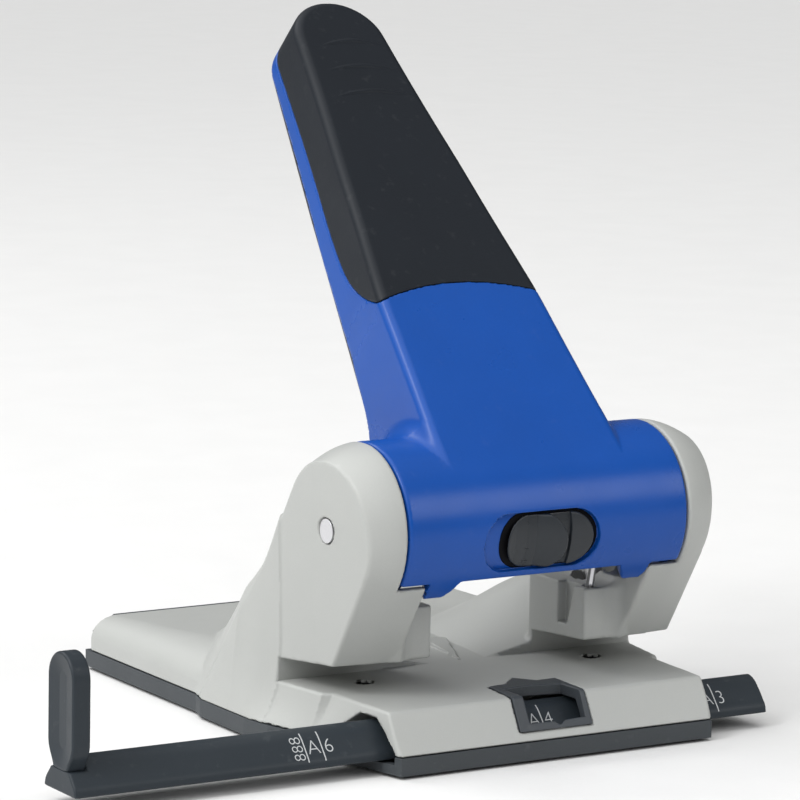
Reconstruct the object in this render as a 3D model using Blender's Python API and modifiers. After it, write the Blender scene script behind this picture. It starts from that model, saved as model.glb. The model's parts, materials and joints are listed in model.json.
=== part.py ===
"""Heavy-duty two-hole paper punch: a wide lever on a shaft between two side frames pushes two
punches through a paper slot, over a chip tray. A stop rail slides through the bed.

Sizes are in millimetres and become metres when a mesh is made. The origin is on the table,
midway between the punch axes. X runs along the paper's edge, Y runs from the paper side to
the back of the chip tray, and Z is up. The lever's pieces are drawn at rest from its own axis.
"""

import math

import bpy
import bmesh
from mathutils import Matrix, Vector

MM = 0.001
GAP = 0.3  # between neighbouring pieces

# Punching
PITCH = 80.0  # distance between the two punch axes
PUNCH_X = PITCH / 2
PUNCH_R = 2.75
PUNCH_TIP_Z = 27.2
HEAD_R = 4.0
HEAD_LOW, HEAD_TOP = 67.0, 70.2

# Base
TRAY_LOW = 1.0
TRAY_FLOOR = 3.0
TRAY_TOP = 6.25
BASE_LOW = TRAY_TOP + GAP
BED_TOP = 18.4
BED_UNDER = 13.9
BED_REAR = 10.4
DECK_TOP = 20.0
DECK_UNDER = 17.2
SLOT_CEILING = 25.2  # at the back of the slot, from where it rises to the front
HOUSING_REAR = 122.7
TRAY_REAR = 125.7
HOUSING_HALF = 66.4
NECK_HALF = 59.7  # the housing's half width between the feet
FOOT_REAR = 54.3
FOOT_FRONT = 11.0

# Lever
PIVOT_Y, PIVOT_Z = -12.17, 67.24
LEVER_TILT = math.radians(45)
BARREL_R = 24.87
BARREL_WALL = 3.47
BARREL_HALF = 48.0
END_WALL = 3.0
HANDLE_WALL = 2.4
GRIP_THICK = 2.0
GRIP_ARCH_TOP = 67.3
GRIP_ARCH_SIDE = 62.0
SHAFT_R = 3.6
SHAFT_BORE = SHAFT_R + GAP
ROLLER_R = 3.0
ROLLER_Y, ROLLER_Z = 13.03, 6.36  # from the lever's axis at rest

# Side frames
CHEEK_INNER = 48.6
CHEEK_OUTER = 61.0  # at the height of the shaft
COLUMN_INNER = 26.7
COLUMN_FRONT = -15.3
COLUMN_REAR = 16.5
COLUMN_TOP = 45.6
BARREL_CLEAR = 25.6

# Stop rail
RAIL_LEFT, RAIL_RIGHT = -154.2, 79.0
RAIL_MID = -27.9
RAIL_LOW = 4.5
PADDLE_THICK = 5.7
PADDLE_HALF_DEPTH = 7.6
PADDLE_LOW, PADDLE_TOP = 11.2, 44.0

# Lock slider in the barrel
SLIDER_ANGLE = math.radians(-9)  # of its middle, from level
RECESS_FLOOR = 22.9
SLIDER_TRAVEL = 6.6

MATERIALS = {
    # name: (colour, roughness, metallic)
    "grey_casting": ((0.72, 0.72, 0.69), 0.45, 0.0),
    "blue_lacquer": ((0.02, 0.09, 0.48), 0.35, 0.0),
    "dark_plastic": ((0.05, 0.06, 0.07), 0.5, 0.0),
    "soft_grip": ((0.02, 0.025, 0.035), 0.6, 0.0),
    "steel": ((0.62, 0.62, 0.63), 0.3, 1.0),
    "brass": ((0.70, 0.52, 0.25), 0.35, 1.0),
    "rubber": ((0.03, 0.03, 0.03), 0.8, 0.0),
}


# ---------------------------------------------------------------- scene and materials

def clear_scene():
    for obj in list(bpy.data.objects):
        bpy.data.objects.remove(obj, do_unlink=True)


def new_collection(name):
    collection = bpy.data.collections.new(name)
    bpy.context.scene.collection.children.link(collection)
    return collection


def make_material(name, colour, roughness, metallic):
    material = bpy.data.materials.new(name)
    material.use_nodes = True
    shader = material.node_tree.nodes["Principled BSDF"]
    shader.inputs["Base Color"].default_value = (*colour, 1.0)
    shader.inputs["Roughness"].default_value = roughness
    shader.inputs["Metallic"].default_value = metallic
    material.diffuse_color = (*colour, 1.0)
    return material


clear_scene()
PARTS = new_collection("two_hole_punch")
CUTTERS = new_collection("cutters")


def add_pivot(name, place):
    """An empty on a joint's axis. What it carries is drawn from that axis."""
    empty = bpy.data.objects.new(name, None)
    empty.location = Vector(place) * MM
    PARTS.objects.link(empty)
    return empty


# ---------------------------------------------------------------- solids

def add_mesh(name, mesh, parent=None):
    obj = bpy.data.objects.new(name, mesh)
    PARTS.objects.link(obj)
    obj.parent = parent
    return obj


def from_bmesh(name, bm, parent=None):
    bmesh.ops.recalc_face_normals(bm, faces=bm.faces)
    mesh = bpy.data.meshes.new(name)
    bm.to_mesh(mesh)
    bm.free()
    return add_mesh(name, mesh, parent)


def box(name, low, high, parent=None):
    bm = bmesh.new()
    size = [b - a for a, b in zip(low, high)]
    middle = [(a + b) / 2 for a, b in zip(low, high)]
    place = Matrix.Translation(Vector(middle) * MM) @ Matrix.Diagonal((*[s * MM for s in size], 1))
    bmesh.ops.create_cube(bm, size=1.0, matrix=place)
    return from_bmesh(name, bm, parent)


# A matrix for each axis: it takes Z to that axis.
TO_AXIS = {
    "X": Matrix(((0, 0, 1, 0), (1, 0, 0, 0), (0, 1, 0, 0), (0, 0, 0, 1))),
    "Y": Matrix(((1, 0, 0, 0), (0, 0, -1, 0), (0, 1, 0, 0), (0, 0, 0, 1))),
    "Z": Matrix.Identity(4),
}


def cylinder(name, radius, low, high, axis="Z", centre=(0, 0), segments=32, parent=None):
    """A cylinder from low to high along the axis. The centre is in the plane across it."""
    bm = bmesh.new()
    bmesh.ops.create_cone(
        bm, cap_ends=True, segments=segments, radius1=radius * MM, radius2=radius * MM,
        depth=(high - low) * MM)
    middle = Matrix.Translation(Vector((*centre, (low + high) / 2)) * MM)
    bmesh.ops.transform(bm, matrix=TO_AXIS[axis] @ middle, verts=bm.verts)
    return from_bmesh(name, bm, parent)


def flat_plate(name, outline, low, high, axis="Z", parent=None):
    """A closed outline as a solid from low to high along the axis.

    The outline's two values are (X, Y) for Z, (Y, Z) for X and (X, Z) for Y. Along Y the
    solid runs from -high to -low, because Y points away from the viewer of that plane.
    """
    curve = bpy.data.curves.new(name, "CURVE")
    curve.dimensions = "2D"
    curve.fill_mode = "BOTH"
    curve.extrude = (high - low) / 2 * MM
    spline = curve.splines.new("POLY")
    spline.points.add(len(outline) - 1)
    for point, (u, v) in zip(spline.points, outline):
        point.co = (u * MM, v * MM, 0, 1)
    spline.use_cyclic_u = True
    holder = bpy.data.objects.new(name, curve)
    PARTS.objects.link(holder)
    graph = bpy.context.evaluated_depsgraph_get()
    mesh = bpy.data.meshes.new_from_object(holder.evaluated_get(graph))
    bpy.data.objects.remove(holder)
    bm = bmesh.new()
    bm.from_mesh(mesh)
    bpy.data.meshes.remove(mesh)
    bmesh.ops.remove_doubles(bm, verts=bm.verts, dist=0.00001)
    shift = Matrix.Translation((0, 0, (low + high) / 2 * MM))
    bmesh.ops.transform(bm, matrix=TO_AXIS[axis] @ shift, verts=bm.verts)
    return from_bmesh(name, bm, parent)


def loft(name, rings, parent=None):
    """A closed solid through rings of equally many (x, y, z) points."""
    bm = bmesh.new()
    rows = [[bm.verts.new(Vector(point) * MM) for point in ring] for ring in rings]
    count = len(rows[0])
    for lower, upper in zip(rows, rows[1:]):
        for i in range(count):
            j = (i + 1) % count
            bm.faces.new((lower[i], lower[j], upper[j], upper[i]))
    bmesh.ops.triangulate(bm, faces=bm.faces)  # a bent four-sided face upsets a Boolean
    bm.faces.new(rows[0])
    bm.faces.new(rows[-1])
    return from_bmesh(name, bm, parent)


def turned(name, profile, axis="Z", centre=(0, 0), steps=28, parent=None):
    """A turned solid. The profile's (radius, height) points run down its outer side."""
    mesh = bpy.data.meshes.new(name)
    edges = [(i, i + 1) for i in range(len(profile) - 1)]
    if profile[0][0] > 0:
        edges.append((len(profile) - 1, 0))
    mesh.from_pydata([(r * MM, 0, z * MM) for r, z in profile], edges, [])
    obj = add_mesh(name, mesh, parent)
    place = TO_AXIS[axis] @ Matrix.Translation(Vector((*centre, 0)) * MM)
    obj.location = place.to_translation()
    obj.rotation_euler = place.to_euler()
    screw = obj.modifiers.new("turn", "SCREW")
    screw.steps = steps
    screw.render_steps = steps
    screw.use_merge_vertices = True
    screw.merge_threshold = 0.00001
    return obj


def tube_profile(outer, inner, low, high):
    return [(outer, high), (outer, low), (inner, low), (inner, high)]


def wire(name, points, radius, parent=None):
    curve = bpy.data.curves.new(name, "CURVE")
    curve.dimensions = "3D"
    curve.bevel_depth = radius * MM
    curve.bevel_resolution = 2
    curve.use_fill_caps = True
    spline = curve.splines.new("POLY")
    spline.points.add(len(points) - 1)
    for point, place in zip(spline.points, points):
        point.co = (*(Vector(place) * MM), 1)
    obj = bpy.data.objects.new(name, curve)
    PARTS.objects.link(obj)
    obj.parent = parent
    return obj


# ---------------------------------------------------------------- joining and cutting

def combine(target, tool, operation):
    modifier = target.modifiers.new(tool.name, "BOOLEAN")
    modifier.operation = operation
    modifier.object = tool
    tool.hide_render = True
    tool.display_type = "WIRE"
    PARTS.objects.unlink(tool)
    CUTTERS.objects.link(tool)


def cut(target, *tools):
    for tool in tools:
        combine(target, tool, "DIFFERENCE")


def join(target, *tools):
    for tool in tools:
        combine(target, tool, "UNION")


def keep(target, tool):
    combine(target, tool, "INTERSECT")


def finish(obj, material):
    obj.data.materials.clear()
    obj.data.materials.append(material)
    if obj.type == "MESH":
        obj.data.shade_smooth()
        obj.data.set_sharp_from_angle(angle=math.radians(30))


# ---------------------------------------------------------------- outlines

def arc(centre, radius, start, end, count):
    """Points on an arc, from one angle to another in degrees."""
    points = []
    for i in range(count + 1):
        angle = math.radians(start + (end - start) * i / count)
        points.append((centre[0] + radius * math.cos(angle), centre[1] + radius * math.sin(angle)))
    return points


def stadium(low, high, radius, count=6):
    """A horizontal stadium about the first value's axis."""
    right = arc((high - radius, 0), radius, -90, 90, count)
    left = arc((low + radius, 0), radius, 90, 270, count)
    return right + left


def both_sides(half):
    """The whole outline from its right half, which runs from front to back."""
    return half + [(-x, y) for x, y in reversed(half)]


def mirrored(points, side):
    return [(x * side, *rest) for x, *rest in points]


# ---------------------------------------------------------------- base

BED_TOP_HALF = [(54.4, -37.4), (55.3, -22.9), (55.9, -8.6), (58.8, -8.0), (62.0, BED_REAR)]
BED_LOW_HALF = [(54.0, -44.1), (57.6, -28.0), (60.2, -17.0), (61.8, -12.0), (66.9, BED_REAR)]
TRAY_HALF = [
    (53.9, -44.2), (56.8, -32.8), (59.4, -21.0), (64.7, -0.2), (67.4, 8.8), (68.4, 21.1),
    (68.3, 48.0), (66.4, 54.0), (66.4, TRAY_REAR)]
WINDOW_LEFT, WINDOW_RIGHT = -13.3, 13.5
WINDOW_REAR = -20.8
SCREW_X, SCREW_YS = 53.0, (24.0, 42.0)
BED_SCREW_X, BED_SCREW_Y = 20.0, 7.0
TONGUE_LOW, TONGUE_TOP = 11.0, BED_UNDER - GAP


def make_base_bed():
    lower = [(x, y, BASE_LOW) for x, y in both_sides(BED_LOW_HALF)]
    upper = [(x, y, BED_TOP) for x, y in both_sides(BED_TOP_HALF)]
    bed = loft("base_bed", [lower, upper])
    channel = [(-41.0, 5.0), (-36.4, 11.4), (-32.5, 15.2), (-24.0, 15.2), (-18.0, 11.4), (-15.0, 5.0)]
    cut(bed, flat_plate("rail_channel", channel, -80, 80, "X"))
    cut(bed, box("bed_hollow", (-50, -19, 5), (50, BED_REAR + 2, BED_UNDER)))
    for side in (-1, 1):
        cut(bed, cylinder("die_seat", 6.3, 12, 17.3, centre=(side * PUNCH_X, 0)))
        cut(bed, cylinder("die_hole", 3.2, 12, 20, centre=(side * PUNCH_X, 0)))
        cut(bed, cylinder("bed_screw_hole", 1.8, 12, 17.2, centre=(side * BED_SCREW_X, BED_SCREW_Y),
                          segments=16))
    cut(bed, box("window_cut", (WINDOW_LEFT, -50, 9.0), (WINDOW_RIGHT, WINDOW_REAR, 22)))
    return bed


def make_window_frame():
    """An angled sheet that lines the window, from the bed's top down its slanted front."""
    sheet = [(WINDOW_REAR - GAP, 18.7), (-37.6, 18.7), (-42.9, 9.3), (-40.2, 9.3), (-36.2, 15.9),
             (WINDOW_REAR - GAP, 15.9)]
    frame = flat_plate("window_frame", sheet, WINDOW_LEFT + GAP, WINDOW_RIGHT - GAP, "X")
    opening = [(-9.2, -40.9), (10.5, -40.9), (10.5, -28.5), (0.0, -26.6), (-9.2, -27.0)]
    cut(frame, flat_plate("window_opening", opening, 10.5, 22))
    notch = [(1.6, -14.0), (1.6, -15.5), (6.5, -21.5), (14.0, -21.2), (14.0, -14.0)]
    cut(frame, flat_plate("window_notch", notch, 5, 25))
    return frame


def housing_section(y, half, crease, top, inset=0.0):
    """The rear housing's cross section: upright sides that turn over into the flat top."""
    half -= inset
    crease -= inset
    top -= inset
    shoulder = 10.0
    right = [(half, BASE_LOW - inset), (half, shoulder)]
    for angle in (22.5, 45.0, 67.5, 90.0):
        turn = math.radians(angle)
        x = crease + (half - crease) * math.cos(turn)
        right.append((x, shoulder + (top - shoulder) * math.sin(turn)))
    return [(x, y, z) for x, z in both_sides(right)]


def tray_cover_top(y):
    return 17.0 + 0.0496 * (TRAY_REAR - y)


def make_rear_housing():
    neck = [(BED_REAR + GAP, BASE_LOW), (BED_REAR + GAP, BED_TOP), (13.0, BED_TOP), (13.3, DECK_TOP),
            (FOOT_REAR + 2, DECK_TOP), (FOOT_REAR + 2, BASE_LOW)]
    housing = flat_plate("rear_housing", neck, -NECK_HALF, NECK_HALF, "X")
    stations = [(FOOT_REAR + GAP, 49.5), (65, 50.0), (88, 53.5), (HOUSING_REAR, 58.0)]
    outer = [housing_section(y, HOUSING_HALF, crease, tray_cover_top(y)) for y, crease in stations]
    join(housing, loft("cover_body", outer))
    inner_stations = [(FOOT_REAR + 2.5, 49.5), (65, 50.0), (88, 53.5), (HOUSING_REAR + 4, 58.3)]
    inner = [housing_section(y, HOUSING_HALF, crease, tray_cover_top(y), 2.2)
             for y, crease in inner_stations]
    cut(housing, loft("chip_chamber", inner))
    cut(housing, box("neck_hollow", (-57.4, BED_REAR - 2, 5), (57.4, FOOT_REAR + 7.1, DECK_UNDER)))
    tongue = [(3.0, TONGUE_LOW), (3.0, TONGUE_TOP), (12.5, TONGUE_TOP), (12.5, DECK_UNDER + 1.1),
              (16.4, DECK_UNDER + 1.1), (16.4, TONGUE_LOW)]
    join(housing, flat_plate("tongue", tongue, -28, 28, "X"))
    for side in (-1, 1):
        cut(housing, cylinder("tongue_hole", 1.8, 10, 14.5, centre=(side * BED_SCREW_X, BED_SCREW_Y),
                              segments=16))
        for y in SCREW_YS:
            cut(housing, cylinder("frame_screw_hole", 2.3, 16, 22, centre=(side * SCREW_X, y),
                                  segments=16))
    return housing


def make_chip_tray():
    outline = both_sides(TRAY_HALF)
    tray = flat_plate("chip_tray", outline, TRAY_LOW, TRAY_TOP)
    inner = both_sides([(x - 2.2, max(y, -41.9)) for x, y in TRAY_HALF[:-1]]
                       + [(HOUSING_HALF - 2.2, TRAY_REAR - 2.7)])
    cut(tray, flat_plate("tray_hollow", inner, TRAY_FLOOR, TRAY_TOP + 2))
    cut(tray, box("rail_notch", (-80, -41.5, 3.9), (80, -16.0, TRAY_TOP + 2)))
    rear_half = HOUSING_HALF - 2.2 - GAP
    wall = [(-rear_half, 2), (rear_half, 2), (rear_half, 12.0), (56.5, 16.6), (-56.5, 16.6),
            (-rear_half, 12.0)]
    join(tray, flat_plate("tray_rear_wall", wall, -TRAY_REAR, -(HOUSING_REAR + GAP), "Y"))
    return tray


def make_mat():
    return flat_plate("anti_slip_mat", both_sides([(x - 3, y - (3 if y > 100 else -3 if y < -40 else 0))
                                                   for x, y in TRAY_HALF]), 0.0, TRAY_LOW - GAP)


def make_dies():
    return [turned("die_" + name, tube_profile(6.0, 2.95, BED_UNDER, 17.0), centre=(side * PUNCH_X, 0))
            for name, side in (("left", -1), ("right", 1))]


def make_screws():
    screws = []
    frame_screw = [(0, 26.0), (2.0, 26.0), (2.0, 16.9), (3.6, 16.9), (3.6, 14.2), (0, 14.2)]
    places = [(side * SCREW_X, y) for side in (-1, 1) for y in SCREW_YS]
    for number, place in enumerate(places, 1):
        screws.append(turned(f"frame_screw_{number}", frame_screw, centre=place, steps=16))
    bed_screw = [(0, 17.0), (1.5, 17.0), (1.5, 10.7), (2.8, 10.7), (2.8, 8.6), (0, 8.6)]
    for name, side in (("left", -1), ("right", 1)):
        place = (side * BED_SCREW_X, BED_SCREW_Y)
        screws.append(turned("bed_screw_" + name, bed_screw, centre=place, steps=16))
    return screws


# ---------------------------------------------------------------- side frames

REAR_EDGE_ANGLE = 31.55  # where the rear edge leaves the round top, in degrees above level
SPRING_LEG_X = 30.5
# The outer face stands upright in front and sweeps out to the foot behind:
# Y, then its half width at Z 110, 40, 18.4 and 0.
OUTER_FACE = [(-60, 61.0, 61.0, 61.0, 61.0), (-6, 61.0, 61.0, 61.0, 61.0), (11, 61.0, 61.2, 62.2, 69.6),
              (29, 61.0, 64.1, 66.3, 69.0), (60, 61.0, 64.5, 67.2, 68.6)]
# The gusset behind the column: Y, inner X, its height there, outer X, its height there, its underside.
GUSSET = [(15.5, 27.0, 22.0, 49.0, 26.9, 20.3), (25.0, 20.0, 22.2, 49.0, 32.6, 20.3),
          (45.0, 14.0, 20.9, 49.0, 36.0, 20.3), (54.0, 20.0, 21.1, 46.5, 31.4, 20.85),
          (74.0, 40.0, 21.0, 46.5, 21.9, 20.85)]


def cheek_outline():
    """Seen along X: round top about the shaft, straight rear edge, foot, slot and rounded nose."""
    top = arc((PIVOT_Y, PIVOT_Z), BARREL_R, 199, REAR_EDGE_ANGLE, 20)
    nose = arc((-15.6, 31.6), 4.0, 270, 200, 4)
    return top + [(FOOT_REAR, BASE_LOW), (FOOT_FRONT, BASE_LOW), (FOOT_FRONT, BED_TOP), (13.0, BED_TOP),
                  (13.0, SLOT_CEILING)] + nose + [(-27.2, 44.1)]


def side_beam(name, outline, inner, outer, side):
    """A solid along X on one side, from an inner to an outer distance."""
    low, high = sorted((side * inner, side * outer))
    return flat_plate(name, outline, low, high, "X")


def side_box(name, low, high, side):
    xs = sorted((side * low[0], side * high[0]))
    return box(name, (xs[0], *low[1:]), (xs[1], *high[1:]))


def make_side_frame(name, side):
    frame = side_beam(name, cheek_outline(), CHEEK_INNER, 72, side)
    rings = []
    for y, *halves in OUTER_FACE:
        edge = list(zip(halves, (110, 40, BED_TOP, 0)))
        rings.append([(side * x, y, z) for x, z in edge + [(90, 0), (90, 110)]])
    cut(frame, loft("outside_room", rings))
    # The neck of the rear housing passes inside the foot.
    cut(frame, side_box("neck_room", (40, 5, 0), (NECK_HALF + GAP, 80, DECK_TOP + GAP), side))
    column = [(COLUMN_FRONT, 27.4), (13.0, SLOT_CEILING), (13.0, DECK_TOP + GAP),
              (COLUMN_REAR, DECK_TOP + GAP), (COLUMN_REAR, COLUMN_TOP), (COLUMN_FRONT, COLUMN_TOP)]
    join(frame, side_beam("column", column, COLUMN_INNER, CHEEK_INNER + 2, side))
    join(frame, loft("gusset", [[(side * x, y, z) for x, z in (
        (inner, under), (inner, low), (outer, high), (outer + 1, under))]
        for y, inner, low, outer, high, under in GUSSET]))
    web = [(-10.0, 27.0), (-15.3, 27.5), (-19.6, 31.4), (-27.0, 44.1), (-33.2, 53.5), (-20.0, 53.5),
           (-10.0, 45.0)]
    join(frame, side_beam("front_web", web, 38.0, CHEEK_INNER + 2, side))
    cut(frame, cylinder("barrel_room", BARREL_CLEAR, -CHEEK_INNER, CHEEK_INNER, "X",
                        (PIVOT_Y, PIVOT_Z), 48))
    cut(frame, cylinder("shaft_bore", SHAFT_BORE, -80, 80, "X", (PIVOT_Y, PIVOT_Z), 24))
    cut(frame, cylinder("bush_bore", 5.3, 20, 37, centre=(side * PUNCH_X, 0), segments=24))
    cut(frame, cylinder("head_room", 6.5, 36.3, 60, centre=(side * PUNCH_X, 0), segments=24))
    cut(frame, side_box("spring_pocket", (28.9, -14.2, 37.0), (32.1, -9.2, 60), side))
    cut(frame, side_box("column_groove", (26, -5.9, 30.6), (29.8, -1.1, 60), side))
    for y in SCREW_YS:
        cut(frame, cylinder("frame_screw_bore", 2.3, 10, 26.4, centre=(side * SCREW_X, y), segments=16))
    return frame


def make_guide_bushes():
    return [turned("guide_bush_" + name, tube_profile(5.0, 3.05, 26.6, 36.0), centre=(side * PUNCH_X, 0))
            for name, side in (("left", -1), ("right", 1))]


def make_shaft():
    ends = CHEEK_OUTER + 0.1
    return turned("pivot_shaft", [(0, ends), (SHAFT_R, ends), (SHAFT_R, -ends), (0, -ends)], "X",
                  (PIVOT_Y, PIVOT_Z))


def make_return_spring():
    """A torsion spring on the shaft, with its fixed leg in the right column."""
    coil_r, pitch, turns, per_turn = 5.6, 3.0, 3.5, 16
    points = [(SPRING_LEG_X, y, z) for y, z in ((-11.2, 37.6), (-12.8, 46.0), (-14.6, 54.0), (-17.4, 62.0))]
    for i in range(int(turns * per_turn) + 1):
        angle = math.pi - 2 * math.pi * i / per_turn
        points.append((SPRING_LEG_X - pitch * i / per_turn, PIVOT_Y + coil_r * math.cos(angle),
                       PIVOT_Z + coil_r * math.sin(angle)))
    points.append((points[-1][0], PIVOT_Y + coil_r, PIVOT_Z - 8.0))
    return wire("lever_return_spring", points, 1.3)


# ---------------------------------------------------------------- lever

def along_handle(x, s, n):
    """A point of the lever, s along the handle and n out of its front face, from the axis."""
    cos, sin = math.cos(LEVER_TILT), math.sin(LEVER_TILT)
    return (x, s * cos - n * sin, s * sin + n * cos)


# Distance along the handle, half width, depth behind the front face.
HANDLE = [(3, 32.0, 30.0), (32, 30.0, 30.0), (47, 29.0, 28.6), (63, 27.9, 26.6), (112, 21.9, 25.2),
          (153, 16.9, 23.3), (166, 15.3, 22.6), (170, 13.4, 22.2), (173, 10.0, 21.6), (174.5, 6.0, 20.8)]


def handle_size(s):
    """Half width and depth at a distance along the handle."""
    if s <= HANDLE[0][0]:
        return HANDLE[0][1:]
    for (s0, w0, d0), (s1, w1, d1) in zip(HANDLE, HANDLE[1:]):
        if s <= s1:
            t = (s - s0) / (s1 - s0)
            return w0 + (w1 - w0) * t, d0 + (d1 - d0) * t
    return HANDLE[-1][1:]


def handle_ring(s, half, front, back, corner):
    """A rounded rectangle across the handle, from the front level to the back level."""
    corner = min(corner, half * 0.8)
    right = [(half - 0.4, back), (half, back + 1.0)]
    right += [(half - corner + corner * math.cos(math.radians(a)),
               front - corner + corner * math.sin(math.radians(a))) for a in (0, 30, 60, 90)]
    return [along_handle(x, s, n) for x, n in both_sides(right)]


def handle_loft(name, parent, inset=0.0, back=None, corner=2.8, start=None, end=None):
    """The handle's body. A positive inset makes it smaller on the front, sides and tip."""
    first = HANDLE[0][0] if start is None else start
    last = HANDLE[-1][0] - inset if end is None else end
    stations = [first] + [s for s, *_ in HANDLE if first < s < last] + [last]
    rings = []
    for s in stations:
        half, depth = handle_size(s)
        half, depth = half - inset, depth
        level = BARREL_R - depth + back if back is not None else BARREL_R - depth - 4
        rings.append(handle_ring(s, half, BARREL_R - inset, level, max(corner - inset, 0.8)))
    return loft(name, rings, parent)


def grip_region(name, parent, grow):
    """Everything beyond the grip's arched lower edge and in front of the blue strip."""
    arch = []
    for i in range(9):
        t = -1 + i / 4
        arch.append((t * 40, GRIP_ARCH_TOP - (GRIP_ARCH_TOP - GRIP_ARCH_SIDE) * (t * 40 / 28.5) ** 2 - grow))
    rings = []
    for n in (12.0, 40.0):
        ring = [along_handle(x, s, n) for x, s in arch]
        ring += [along_handle(40, 200, n), along_handle(-40, 200, n)]
        rings.append(ring)
    region = loft(name, rings, parent)
    low = [along_handle(x, s, n) for x, s, n in (
        (-40, 84 - grow, 7.6 - grow), (-40, 200, 8.4 - grow), (40, 200, 8.4 - grow),
        (40, 84 - grow, 7.6 - grow))]
    high = [along_handle(x, s, n) for x, s, n in (
        (-40, 72 - grow, 16), (-40, 200, 16), (40, 200, 16), (40, 72 - grow, 16))]
    join(region, loft(name + "_low", [low, high], parent))
    return region


def sector(name, start, end, half, parent):
    """A wedge about the lever's axis, between two angles above the rear level, in degrees."""
    reach = 60
    count = max(2, round(abs(end - start) / 30))
    outline = [(0.0, 0.0)] + arc((0, 0), reach, start, end, count)
    return flat_plate(name, outline, -half, half, "X", parent)


def slider_frame(x, along, out):
    """A point near the lock slider: out of the barrel, and along its skin upwards."""
    cos, sin = math.cos(SLIDER_ANGLE), math.sin(SLIDER_ANGLE)
    return (x, -out * cos + along * sin, out * sin + along * cos)


def slider_prism(name, outline, low, high, parent):
    """An outline in the slider's plane as a solid between two distances from the axis."""
    return loft(name, [[slider_frame(x, v, distance) for x, v in outline] for distance in (low, high)],
                parent)


def barrel_cylinder(name, radius, half, parent, segments=64):
    return cylinder(name, radius, -half, half, "X", segments=segments, parent=parent)


def slider_recess(parent):
    recess = slider_prism("slider_recess", stadium(-22.3, 17.4, 9.1), 15, 32, parent)
    cut(recess, barrel_cylinder("recess_floor", RECESS_FLOOR, 60, parent))
    return recess


def make_lever_shell(pivot):
    shell = barrel_cylinder("lever_shell", BARREL_R, BARREL_HALF, pivot)
    join(shell, handle_loft("handle_outer", pivot, back=1.6))
    inner = barrel_cylinder("barrel_hollow", BARREL_R - BARREL_WALL, BARREL_HALF - END_WALL, pivot)
    join(inner, handle_loft("handle_hollow", pivot, inset=HANDLE_WALL, start=8, end=62))
    join(inner, handle_loft("grip_hollow", pivot, inset=HANDLE_WALL + GRIP_THICK + GAP, start=50, end=169))
    cut(shell, inner)
    cut(shell, sector("open_bottom", -128.4, 18.0, BARREL_HALF - END_WALL - 0.2, pivot))
    cut(shell, sector("open_front", -144.5, -100.0, 31.0, pivot))
    recess = handle_loft("grip_recess", pivot, inset=-1.0)
    keep(recess, grip_region("grip_recess_region", pivot, GAP))
    cut(recess, handle_loft("grip_seat", pivot, inset=GRIP_THICK + GAP, start=20))
    cut(shell, recess)
    cut(shell, slider_recess(pivot))
    slot = [(-5.3 - SLIDER_TRAVEL - GAP, -3.3), (5.3, -3.3), (5.3, 3.3), (-5.3 - SLIDER_TRAVEL - GAP, 3.3)]
    cut(shell, slider_prism("slider_slot", slot, 18, 30, pivot))
    cut(shell, cylinder("bearing_bore", 5.7, -60, 60, "X", segments=24, parent=pivot))
    for side in (-1, 1):
        low, high = sorted((side * 44.0, side * 47.2))
        cut(shell, cylinder("roller_hole", 2.2, low, high, "X", (ROLLER_Y, ROLLER_Z), 16, pivot))
    return shell


def make_lever_cover(pivot):
    """The thin plate that closes the handle's back."""
    stations = [28, 47, 63, 112, 153, 166, 170, 173, 174.3]
    rings = []
    for s in stations:
        half, depth = handle_size(s)
        back = BARREL_R - depth
        rings.append([along_handle(x, s, n) for x, n in (
            (half - 0.4, back + 1.3), (half - 0.8, back), (0.8 - half, back), (0.4 - half, back + 1.3))])
    return loft("lever_cover", rings, pivot)


def make_grip(pivot):
    grip = handle_loft("grip", pivot)
    keep(grip, grip_region("grip_region", pivot, 0.0))
    cut(grip, handle_loft("grip_hollow_form", pivot, inset=GRIP_THICK, start=20))
    return grip


def make_bearing_bushes(pivot):
    bushes = []
    for name, side in (("left", -1), ("right", 1)):
        low, high = sorted((side * 43.8, side * BARREL_HALF))
        bushes.append(turned("bearing_bush_" + name, tube_profile(5.4, SHAFT_BORE, low, high), "X",
                             steps=24, parent=pivot))
    return bushes


def make_crank_yoke(name, side, pivot):
    """A plate from the shaft to the roller, fastened to the barrel wall above, with a hub."""
    rest = math.degrees(math.atan2(ROLLER_Z, ROLLER_Y))
    outline = arc((0, 0), 6.0, 150, 270, 6) + arc((ROLLER_Y, ROLLER_Z), 5.0, rest - 100, rest + 40, 8)
    outline += arc((0, 0), BARREL_R - BARREL_WALL - GAP, 60, 115, 6)
    low, high = sorted((side * 33.2, side * 35.2))
    yoke = flat_plate(name, outline, low, high, "X", pivot)
    low, high = sorted((side * 34.0, side * 43.5))
    join(yoke, cylinder("hub", 5.7, low, high, "X", segments=24, parent=pivot))
    cut(yoke, cylinder("hub_bore", SHAFT_BORE, -60, 60, "X", segments=24, parent=pivot))
    cut(yoke, cylinder("roller_seat", 2.2, -60, 60, "X", (ROLLER_Y, ROLLER_Z), 16, pivot))
    return yoke


def make_crank_roller(name, side, pivot):
    profile = [(0, 46.9), (1.9, 46.9), (1.9, 44.6), (ROLLER_R, 44.6), (ROLLER_R, 35.5), (1.9, 35.5),
               (1.9, 33.0), (0, 33.0)]
    if side < 0:
        profile = [(r, -x) for r, x in reversed(profile)]
    return turned(name, profile, "X", (ROLLER_Y, ROLLER_Z), 20, pivot)


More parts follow.
